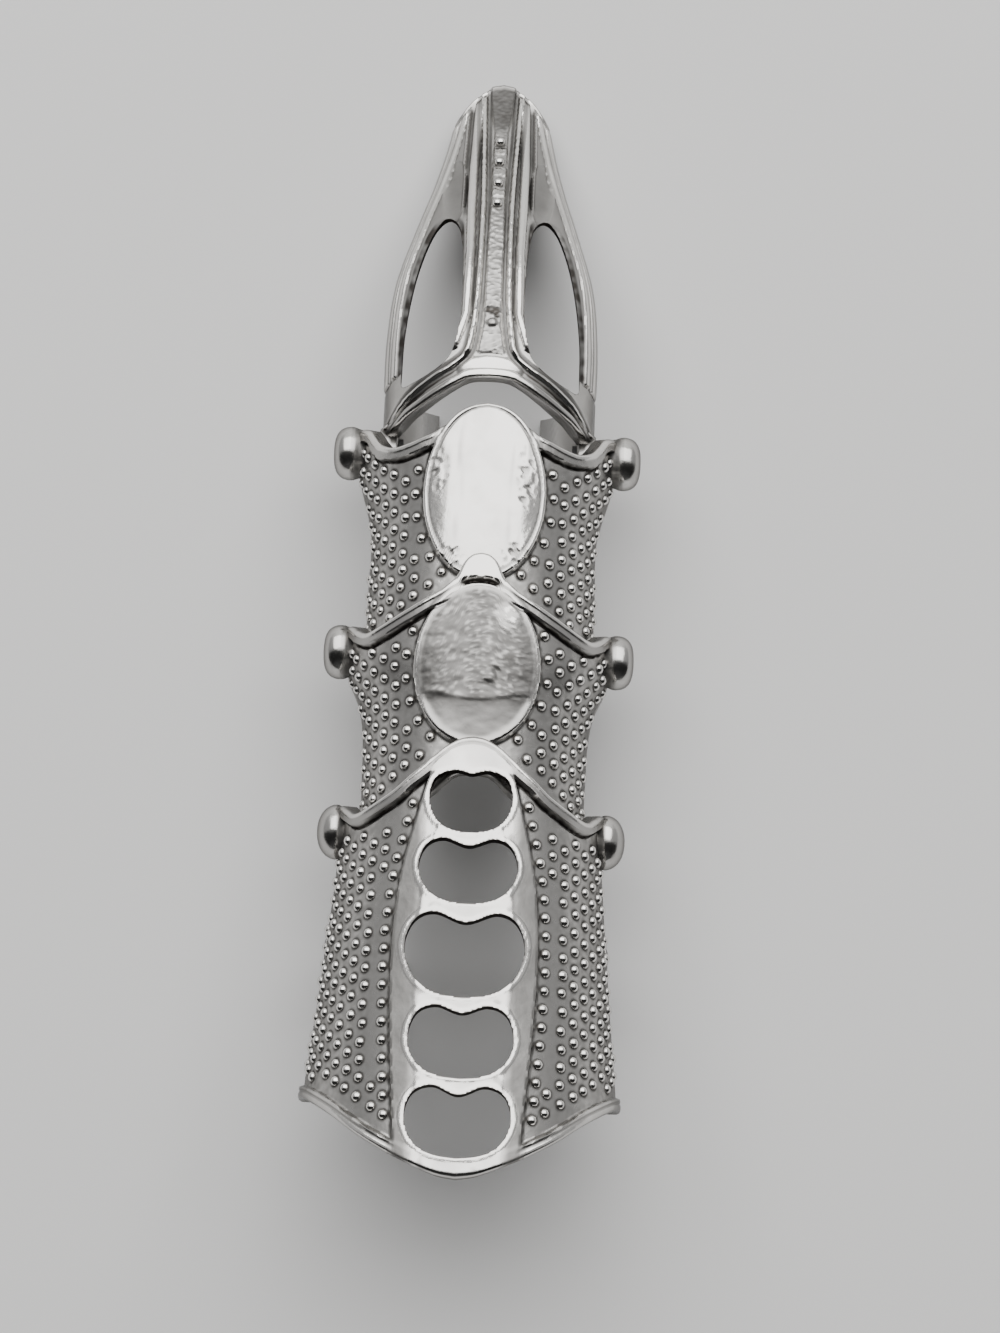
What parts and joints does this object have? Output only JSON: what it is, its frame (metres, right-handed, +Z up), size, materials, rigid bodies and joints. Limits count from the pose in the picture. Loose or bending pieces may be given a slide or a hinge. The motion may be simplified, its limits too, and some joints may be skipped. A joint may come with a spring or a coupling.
{
  "type": "articulated knuckle armor ring",
  "caption": "Articulated full-finger armor ring: pointed tip guard, two beaded knuckle plates and a long pierced base guard, hinged in a row.",
  "frame": {"origin": "bottom centre of the bounding box, on the surface the ring lies on", "axes": "+Y from the base guard to the fingertip, +Z up through the backs of the plates, +X across the finger"},
  "size_m": [0.0244, 0.0938, 0.0223],
  "materials": {
    "silver_plate": "bright silver plate over a cast zinc alloy, worn and darkened in the hollows",
    "rivet_metal": "plain satin"
  },
  "bodies": {
    "base": {"base_guard": "silver_plate", "rivet_base_left": "rivet_metal", "rivet_base_right": "rivet_metal"},
    "lower": {"lower_plate": "silver_plate", "rivet_lower_left": "rivet_metal", "rivet_lower_right": "rivet_metal"},
    "upper": {"upper_plate": "silver_plate", "rivet_upper_left": "rivet_metal", "rivet_upper_right": "rivet_metal"},
    "tip": {"tip_guard": "silver_plate"}
  },
  "joints": [
    {"name": "base_hinge", "type": "hinge", "parent": "base", "child": "lower", "pos_m": [0, -0.0187, 0.0096], "axis": [-1, 0, 0], "range_deg": [0, 50]},
    {"name": "middle_hinge", "type": "hinge", "parent": "lower", "child": "upper", "pos_m": [0, -0.00405, 0.0088], "axis": [-1, 0, 0], "range_deg": [0, 50]},
    {"name": "tip_hinge", "type": "hinge", "parent": "upper", "child": "tip", "pos_m": [0, 0.0126, 0.0079], "axis": [-1, 0, 0], "range_deg": [0, 50]}
  ]
}
